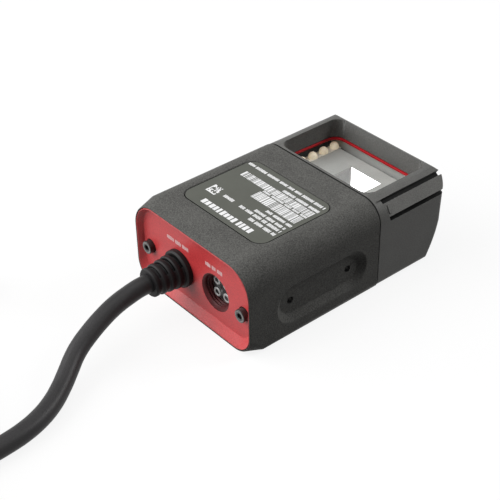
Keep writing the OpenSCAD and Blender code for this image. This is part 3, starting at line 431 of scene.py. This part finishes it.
def clearFinish(name, look):
    # see-through by alpha, with faint smears that only change the gloss
    material, tree, shader = newMaterial(name)
    grain = placeGroup(tree, grainGroup, {
        "Grain Size": smears["grain"] * mm, "Patch Size": smears["patch"] * mm,
        "Color": rgba(look["color"]), "Tint": rgba(look["tint"]),
        "Roughness": look["roughness"], "Spread": smears["spread"]})
    feed(tree, grain.outputs["Color"], shader.inputs["Base Color"])
    feed(tree, grain.outputs["Roughness"], shader.inputs["Roughness"])
    shader.inputs["Alpha"].default_value = look["alpha"]
    return material


windowClear = clearFinish("windowClear", {
    "color": (0.3, 0.34, 0.33), "tint": (0.36, 0.4, 0.39), "roughness": 0.04, "alpha": 0.03})
lensCoated = clearFinish("lensCoated", {
    "color": (0.03, 0.03, 0.08), "tint": (0.05, 0.04, 0.12), "roughness": 0.03, "alpha": 0.6})

finishOf = {
    "housing_paint": housingPaint, "panel_red": panelPaint, "gasket_red": gasketRubber,
    "label_film": labelFilm, "window_clear": windowClear, "plate_grey": plateGrey,
    "lamp_cream": lampResin, "lamp_board": lampBoardFinish, "mirror_face": mirrorFace,
    "black_plastic": blackPlastic, "lens_coated": lensCoated, "board_green": boardGreen,
    "chip_black": chipBlack, "pad_soft": padFoam, "seal_black": sealRubber,
    "screw_black": screwBlack, "screw_steel": screwZinc, "shield_metal": shieldNickel,
    "contact_gold": contactGold, "boot_black": bootRubber, "cord_black": cordJacket,
    "tie_black": tieFabric, "connector_white": nylonWhite,
}
ownFinish = {"head_cover": headPaint}  # pieces that differ from the rest of their slot


def finishFor(node):
    return ownFinish.get(node, finishOf[slotOf[node]])


for name, node in nodes.items():
    node.data.materials.clear()
    node.data.materials.append(finishFor(name))
print("finishes:", len(finishOf))


# mesh helpers

def showPiece(name, data, finish, slot):
    piece = bpy.data.objects.new(name, data)
    data.materials.append(finish)
    bpy.context.scene.collection.objects.link(piece)
    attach(piece, "root")
    return piece


def meshPiece(name, bm, finish, slot, smooth=True):
    mesh = bpy.data.meshes.new(name)
    for face in bm.faces:
        face.smooth = smooth
    bm.to_mesh(mesh)
    bm.free()
    return showPiece(name, mesh, finish, slot)


def weightNormals(piece):
    weighted = piece.modifiers.new("weightedNormals", "WEIGHTED_NORMAL")
    weighted.keep_sharp = True


# edges of moulded and turned pieces are broken by a small round
softEdges = {
    "segments": 2,
    "weld": 0.025,  # mm
    "flat": 0.8,  # degrees within which faces are one
    "sharp": 32,  # degrees from which an edge is rounded
    "room": 1.6,  # least length of an edge, and width of a face beside it, in widths of the round
    "width": {  # mm
        "housing": 0.28, "head_cover": 0.14, "end_panel": 0.22, "panel_screws": 0.16, "cable_boot": 0.1,
        "optical_plate": 0.1, "window_gasket": 0.2, "name_label": 0.24, "socket_insert": 0.1,
        "plug_body": 0.3, "head_screws": 0.06, "lamp_board_left": 0.08, "lamp_board_right": 0.08,
        "cord_tie": 0.12, "socket_shield": 0.05, "mirror_bracket": 0.2,
    },
    "onTop": ("name_label",),  # thin pieces that are rounded on top only, with whatever room they have
    "runOut": {"head_cover": 41.5},  # mm along y past which edges stay sharp, where the slots run out
}


def canRound(edge, room):
    if len(edge.link_faces) != 2 or edge.calc_face_angle() < math.radians(softEdges["sharp"]):
        return False
    length = edge.calc_length()
    return length > room and all(face.calc_area() / length > room for face in edge.link_faces)


def roundEdges(node, width):
    bm = bmesh.new()
    bm.from_mesh(nodes[node].data)
    bmesh.ops.remove_doubles(bm, verts=bm.verts, dist=softEdges["weld"] * mm)
    bmesh.ops.dissolve_limit(bm, angle_limit=math.radians(softEdges["flat"]),
                             verts=bm.verts, edges=bm.edges)
    room = 0 if node in softEdges["onTop"] else softEdges["room"] * width * mm
    sharp = [edge for edge in bm.edges if canRound(edge, room)]
    if node in softEdges["onTop"]:
        middle = sum(corner.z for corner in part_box(node)) / 2
        sharp = [edge for edge in sharp if min(vert.co.z for vert in edge.verts) > middle]
    if node in softEdges["runOut"]:
        limit = softEdges["runOut"][node] * mm
        sharp = [edge for edge in sharp if min(vert.co.y for vert in edge.verts) < limit]
    bmesh.ops.bevel(bm, geom=sharp, offset=width * mm, offset_type="OFFSET", segments=softEdges["segments"],
                    profile=0.5, affect="EDGES", clamp_overlap=False)
    piece = meshPiece(node + "_rounded", bm, finishFor(node), slotOf[node])
    weightNormals(piece)
    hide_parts(node)
    return piece


rounded = {node: roundEdges(node, width) for node, width in softEdges["width"].items()}
print("rounded pieces:", len(rounded))

# faces of one piece that have a finish of their own, in mm: painted shade in the slot grooves and on the
# label's edge, painted light on the slot land and the shield's sides
slotGrooves = [  # ranges of x to either side, y and z
    ((24.2, 26.3), (16, 42), (29.4, 32.2)),
    ((26.9, 28.5), (16, 42), (24.9, 26.7)),
    ((25, 28.9), (15.9, 16.6), (25, 32)),
]
slotLand = {"facing": (0.87, 0, 0.48), "least": 0.98, "ranges": ((26, 29), (16, 44), (26.7, 31.2))}
lightShield = {"sideways": 0.7, "across": 10, "below": 21.7}
farWall = {"facing": -0.9, "past": 41.5, "height": (18, 24.6)}  # inside the head's front, under the glass
labelEdge = {"flat": 0.95}


def paintFaces(node, finish, chosen):
    data = rounded[node].data
    data.materials.append(finish)
    for face in data.polygons:
        if chosen(face.center / mm, face.normal):
            face.material_index = len(data.materials) - 1


def within(spot, ranges):
    place = (abs(spot.x), spot.y, spot.z)
    return all(low < value < high for value, (low, high) in zip(place, ranges))


def inGroove(spot, normal):
    return any(within(spot, ranges) for ranges in slotGrooves)


def onLand(spot, normal):
    outward = Vector((abs(normal.x), normal.y, normal.z))
    facing = outward.dot(Vector(slotLand["facing"]))
    return within(spot, slotLand["ranges"]) and facing > slotLand["least"]


def onShield(spot, normal):
    sideways = abs(normal.x) > lightShield["sideways"]
    return sideways and abs(spot.x) < lightShield["across"] and spot.z < lightShield["below"]


def onFarWall(spot, normal):
    low, high = farWall["height"]
    return normal.y < farWall["facing"] and spot.y > farWall["past"] and low < spot.z < high


# painted shade in the slot grooves, painted light on the slot land
paintFaces("head_cover", paintedGrooveShade, inGroove)
paintFaces("head_cover", paintedLightLand, onLand)
paintFaces("head_cover", wallGrey, onFarWall)
# painted light on the shield's sideways faces
paintFaces("optical_plate", paintedLightShield, onShield)
paintFaces("name_label", gapShade, lambda spot, normal: normal.z < labelEdge["flat"])
print("faces painted")


# turned pieces: a closed profile of radius and way along +y, which may change with the turn
def lathe(bm, profileAt, place, steps):
    rings = []
    for step in range(steps):
        turn = 2 * math.pi * step / steps
        ring = [Vector((radius * math.cos(turn), along, radius * math.sin(turn)))
                for radius, along in profileAt(turn)]
        rings.append([bm.verts.new((Vector(place) + point) * mm) for point in ring])
    for step in range(steps):
        first, second = rings[step - 1], rings[step]
        for index in range(len(first)):
            bm.faces.new((first[index - 1], first[index], second[index], second[index - 1]))
    bmesh.ops.recalc_face_normals(bm, faces=bm.faces)


# thread in the bore of the network socket
socketThread = {
    "axis": (10, 14.4), "start": -40.7, "length": 3.4,  # mm
    "pitch": 1.0, "crest": 5.4, "root": 5.92, "outer": 5.98, "rows": 8, "steps": 72,
    "flank": 1.15,  # over 1 leaves a flat at the root
    "flare": 0.85, "skin": 0.05,  # lead-in cone over the chamfer of the mouth
}


def cutThread():
    thread = socketThread
    x, z = thread["axis"]
    outer, length, flare = thread["outer"], thread["length"], thread["flare"]
    depth = thread["root"] - thread["crest"]
    count = round(length / thread["pitch"] * thread["rows"])

    def profileAt(turn):
        inner = []
        for row in range(count + 1):
            along = length * row / count
            phase = (along / thread["pitch"] - turn / (2 * math.pi)) % 1
            height = max(0, 1 - abs(2 * phase - 1) * thread["flank"])
            inner.append((thread["root"] - height * depth, along))
        mouth = [(outer + flare, -flare), (outer + flare - thread["skin"], -flare)]
        return mouth + inner + [(outer, length), (outer, 0)]

    bm = bmesh.new()
    lathe(bm, profileAt, (x, thread["start"], z), thread["steps"])
    meshPiece("socket_thread", bm, paintedShadeThread, "panel_red")


# raised middle of the socket's insert, which the contacts open on
insertCore = {"front": -38.85, "back": -37.1, "radius": 4.25, "edge": 0.25, "hole": 0.1, "steps": 48}


def raiseCore():
    core = insertCore
    x, z = socketThread["axis"]
    depth = core["back"] - core["front"]
    outline = [(core["hole"], 0), (core["radius"] - core["edge"], 0), (core["radius"], core["edge"]),
               (core["radius"], depth), (core["hole"], depth)]
    bm = bmesh.new()
    lathe(bm, lambda turn: outline, (x, core["front"], z), core["steps"])
    meshPiece("insert_core", bm, coreBlack, "black_plastic")


contactCollars = {
    "spots": [(7.65, 12.05), (12.35, 12.05), (7.65, 16.75), (12.35, 16.75)], "face": -38.85, "steps": 24,
    "profile": [(0.9, 0.1), (0.9, -0.12), (1.0, -0.22), (1.5, -0.22), (1.72, -0.05), (1.72, 0.1)],
}


def turnCollars():
    bm = bmesh.new()
    for x, z in contactCollars["spots"]:
        place = (x, contactCollars["face"], z)
        lathe(bm, lambda turn: contactCollars["profile"], place, contactCollars["steps"])
    meshPiece("contact_collars", bm, collarGrey, "black_plastic")


# bright turned faces of the panel screws
screwRims = {"inner": 1.5, "outer": 2.06, "proud": 0.03, "sunk": 0.02, "faceDepth": 0.01, "steps": 36}


def turnScrewRims():
    rim = screwRims
    low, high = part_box("panel_screws")
    outline = [(rim["inner"], rim["sunk"]), (rim["inner"], -rim["proud"]),
               (rim["outer"], -rim["proud"]), (rim["outer"], rim["sunk"])]
    front = low.y + rim["faceDepth"] * mm
    faces = [face.center for face in nodes["panel_screws"].data.polygons if face.center.y < front]
    bm = bmesh.new()
    for side in (-1, 1):
        own = [spot for spot in faces if (spot.x - (low.x + high.x) / 2) * side > 0]
        x = (min(spot.x for spot in own) + max(spot.x for spot in own)) / 2 / mm
        z = (min(spot.z for spot in own) + max(spot.z for spot in own)) / 2 / mm
        lathe(bm, lambda turn: outline, (x, low.y / mm, z), rim["steps"])
    meshPiece("screw_rims", bm, screwRim, "screw_black", False)


cutThread()
raiseCore()
turnCollars()
turnScrewRims()


# coupling ring of the plug with a straight knurl
couplingRing = {
    "ridges": 36, "ridge": 0.32, "nut": 9, "band": (1.2, 7.8), "edge": 0.4,  # mm
    "outer": 7.2, "sleeve": 5.8, "bore": 4.8, "length": 17, "hole": 0.5, "taper": 0.3, "ridgeSteps": 6,
}


def turnCoupling():
    low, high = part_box("plug_screw")
    place = Vector(((low.x + high.x) / 2, low.y, (low.z + high.z) / 2)) / mm
    ring = couplingRing
    plain = ring["outer"] - ring["ridge"]
    start, end = ring["band"]
    edge, taper, hole = ring["edge"], ring["taper"], ring["hole"]
    nut, sleeve, length = ring["nut"], ring["sleeve"], ring["length"]

    def profileAt(turn):
        ridged = plain + ring["ridge"] * abs(math.sin(ring["ridges"] * turn / 2))
        return [(hole, 0), (plain - edge, 0), (plain, edge), (plain, start), (ridged, start + taper),
                (ridged, end - taper), (plain, end), (plain, nut - edge), (plain - edge, nut), (sleeve, nut),
                (sleeve, length - taper), (sleeve - taper, length), (ring["bore"], length),
                (ring["bore"], nut), (hole, nut)]

    bm = bmesh.new()
    lathe(bm, profileAt, place, ring["ridges"] * ring["ridgeSteps"])
    piece = meshPiece("plug_coupling", bm, shieldNickel, "shield_metal")
    weightNormals(piece)
    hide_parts("plug_screw")
    return piece


coupling = turnCoupling()
print("thread, collars, rims and coupling turned")


# cable: leaves the boot, lies down on the floor and is put away in a coil past the view
cable = {
    "diameter": 6.35, "fineness": 6,
    "route": [  # mm
        (-8, -54.75, 14.4), (-8, -58, 14.4), (-8, -62, 13.8), (-7.3, -68.4, 12.9), (-6.2, -74.2, 11.5),
        (-4.5, -80.6, 9.6), (-3, -85, 8.1), (-1.2, -88.6, 6.8), (1.4, -92.4, 5.5), (5.4, -98, 4.2),
        (8.8, -103.4, 3.6), (11.3, -109, 3.3), (13.1, -115.6, 3.2), (14, -122.6, 3.3),
        (14.4, -130, 3.5), (14.5, -137, 3.6), (14.5, -143.4, 3.7), (14.5, -155, 3.7)],
    "turnStep": 15,  # degrees between points of the coil
    "turns": 1260,  # degrees
    "inward": (270, 350),  # where the first turn moves to the inner ring
    "upward": (600, 680),  # where the second turn climbs on the first
    "outward": (900, 980),  # where the third turn moves to the outer ring
    "tail": [(8, 0), (15, -0.3), (22, -1.5), (28, -2.5), (34, -2.83)],  # way to the plug and its drop
}


def easeBetween(value, start, end):
    share = min(max((value - start) / (end - start), 0), 1)
    return share * share * (3 - 2 * share)


def coilPoints():
    low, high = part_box("cord_coil")
    middle = (low + high) / 2
    radius = cable["diameter"] / 2 * mm
    outer = (high.x - low.x) / 2 - radius
    points = []
    for angle in range(cable["turnStep"], cable["turns"] + 1, cable["turnStep"]):
        inward = easeBetween(angle, *cable["inward"]) - easeBetween(angle, *cable["outward"])
        ring = outer - 2 * radius * inward
        height = low.z + radius + 2 * radius * easeBetween(angle, *cable["upward"])
        turn = math.radians(angle)
        across, back = ring * math.cos(turn), ring * math.sin(turn)
        points.append(Vector((middle.x + across, middle.y - back, height)))
    end = points[-1]
    points += [end + Vector((0, way, drop)) * mm for way, drop in cable["tail"]]
    return points


def layCable():
    points = [Vector(point) * mm for point in cable["route"]] + coilPoints()
    curve = bpy.data.curves.new("cable", "CURVE")
    curve.dimensions = "3D"
    curve.bevel_depth = cable["diameter"] / 2 * mm
    curve.bevel_resolution = cable["fineness"]
    curve.resolution_u = cable["fineness"]
    curve.use_fill_caps = True
    spline = curve.splines.new("BEZIER")
    spline.bezier_points.add(len(points) - 1)
    for knot, point in zip(spline.bezier_points, points):
        knot.co = point
        knot.handle_left_type = knot.handle_right_type = "AUTO"
    piece = showPiece("cable", curve, cordJacket, "cord_black")
    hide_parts("cord", "cord_coil", "cord_tail")
    length = spline.calc_length()
    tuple(points[0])
    return length


print("cable length:", round(layCable(), 3), "m")


# print: rows of plain strokes, a stripe code and a cell code that hold no text
labelPrint = {
    "seed": 7, "top": 33.1, "thick": 0.02,  # mm
    "title": (-12, 12.8, -28.3, 2.8), "titleSize": 3.6,
    "rows": [  # from x, to x, middle y, height
        (-9.3, -4.2, -21.5, 1.5), (6.2, 18.7, -24, 1.5), (-1.2, 18.6, -21.6, 1.5), (3.9, 18.6, -19.5, 1.4),
        (6.7, 18.6, -17.1, 1.4), (-2.8, 18.5, -10.2, 1.1), (1.4, 18.6, -5.2, 1.4), (-19.2, 18.6, -2.4, 1.4)],
    "stripes": [(-15.7, 18.5, -9.5, -6.4), (-3.3, 18.7, -15.4, -11.1)],
    "cells": (-16.3, -23.9, 0.5, 9),  # corner, size and count
    "cellShare": 0.5,
}
portPrint = {
    "seed": 3, "face": -41.65, "thick": 0.02,
    "rows": [(-14.5, -3.1, 23.7, 1.6), (5.5, 14.1, 23.8, 1.6)],  # from x, to x, middle z, height
}


strokeLook = {  # mm, from and to
    "word": (4, 11),  # strokes
    "width": (0.3, 0.46), "gap": (0.1, 0.18), "height": (0.75, 1), "wordGap": 0.6, "least": 0.3,
}
stripeLook = {"widths": (0.25, 0.25, 0.5, 0.75), "gaps": (0.2, 0.2, 0.4), "least": 0.5}


def addSlab(bm, low, high):
    low, high = Vector(low) * mm, Vector(high) * mm
    fit = Matrix.Translation((low + high) / 2) @ Matrix.Diagonal((*(high - low), 1))
    bmesh.ops.create_cube(bm, size=1, matrix=fit)


def strokes(draw, start, end, size=1):
    # uneven strokes in groups, as far as the row goes
    at = start
    left = draw.randint(*strokeLook["word"])
    while at < end - strokeLook["least"]:
        width = draw.uniform(*strokeLook["width"]) * size
        yield at, min(at + width, end), draw.uniform(*strokeLook["height"])
        at += width + draw.uniform(*strokeLook["gap"]) * size
        left -= 1
        if left == 0:
            at += strokeLook["wordGap"]
            left = draw.randint(*strokeLook["word"])


def stripes(draw, start, end):
    at = start
    while at < end - stripeLook["least"]:
        width = draw.choice(stripeLook["widths"])
        yield at, at + width
        at += width + draw.choice(stripeLook["gaps"])


def printLabel():
    draw = random.Random(labelPrint["seed"])
    low, high = labelPrint["top"], labelPrint["top"] + labelPrint["thick"]
    bm = bmesh.new()
    lines = [(labelPrint["title"], labelPrint["titleSize"])] + [(row, 1) for row in labelPrint["rows"]]
    for (start, end, y, height), size in lines:
        for left, right, share in strokes(draw, start, end, size):
            half = height * share / 2
            addSlab(bm, (left, y - half, low), (right, y + half, high))
    for start, end, near, far in labelPrint["stripes"]:
        for left, right in stripes(draw, start, end):
            addSlab(bm, (left, near, low), (right, far, high))
    x, y, size, count = labelPrint["cells"]
    for column in range(count):
        for row in range(count):
            border = column == 0 or row == 0
            if border or draw.random() < labelPrint["cellShare"]:
                left, near = x + column * size, y + row * size
                addSlab(bm, (left, near, low), (left + size, near + size, high))
    meshPiece("label_print", bm, printInk, "label_film", False)


def printPorts():
    draw = random.Random(portPrint["seed"])
    face, front = portPrint["face"], portPrint["face"] - portPrint["thick"]
    bm = bmesh.new()
    for start, end, z, height in portPrint["rows"]:
        for left, right, share in strokes(draw, start, end):
            half = height * share / 2
            addSlab(bm, (left, front, z - half), (right, face, z + half))
    meshPiece("port_print", bm, portInk, "panel_red", False)


printLabel()
printPorts()
print("print laid")


# studio: white surround, a broad key over the panel's side, a fill overhead and a low one past the head
studio = {
    "ambient": 0.04, "floorColor": 0.12, "floorRoughness": 0.9, "floorLift": 0.87, "floorSize": 8,
    "floorGap": 0.02,  # mm
    "lamps": [  # place in m, size, power
        {"at": (-0.75, -0.95, 0.75), "size": 1.5, "power": 33},
        {"at": (0, 0, 1.1), "size": 0.9, "power": 4},
        {"at": (0.6, 1.1, 0.9), "size": 0.5, "power": 10},
    ],
}


def seenRay(tree):
    path = addNode(tree, "ShaderNodeLightPath")
    seen = mathNode(tree, "MAXIMUM", path.outputs["Is Camera Ray"], path.outputs["Is Glossy Ray"])
    return mathNode(tree, "MAXIMUM", seen, path.outputs["Is Transmission Ray"])


def makeStudio():
    world = bpy.data.worlds.new("studio")
    bpy.context.scene.world = world
    world.use_nodes = True
    tree = world.node_tree
    seen = seenRay(tree)
    background = tree.nodes["Background"]
    ambient = [studio["ambient"]] * 3
    feed(tree, mixColor(tree, seen, rgba(ambient), rgba((1, 1, 1))), background.inputs["Color"])

    bm = bmesh.new()
    bmesh.ops.create_grid(bm, x_segments=1, y_segments=1, size=studio["floorSize"] / 2)
    mesh = bpy.data.meshes.new("floor")
    bm.to_mesh(mesh)
    bm.free()
    floor = bpy.data.objects.new("floor", mesh)
    floor.location.z = cadBox[0].z - studio["floorGap"] * mm
    bpy.context.scene.collection.objects.link(floor)
    material, tree, shader = newMaterial("floorWhite")
    mesh.materials.append(material)
    shader.inputs["Base Color"].default_value = rgba([studio["floorColor"]] * 3)
    shader.inputs["Roughness"].default_value = studio["floorRoughness"]
    shader.inputs["Specular IOR Level"].default_value = 0
    shader.inputs["Emission Color"].default_value = (1, 1, 1, 1)
    lift = mathNode(tree, "MULTIPLY", seenRay(tree), studio["floorLift"])
    feed(tree, lift, shader.inputs["Emission Strength"])

    for index, lamp in enumerate(studio["lamps"]):
        light = bpy.data.lights.new("lamp%d" % index, "AREA")
        light.size = lamp["size"]
        light.energy = lamp["power"]
        holder = bpy.data.objects.new(light.name, light)
        holder.location = lamp["at"]
        holder.rotation_euler = (-Vector(lamp["at"])).to_track_quat("-Z", "Y").to_euler()
        bpy.context.scene.collection.objects.link(holder)


makeStudio()
bpy.context.scene.view_settings.view_transform = "Standard"
print("studio lit")

bpy.context.view_layer.update()
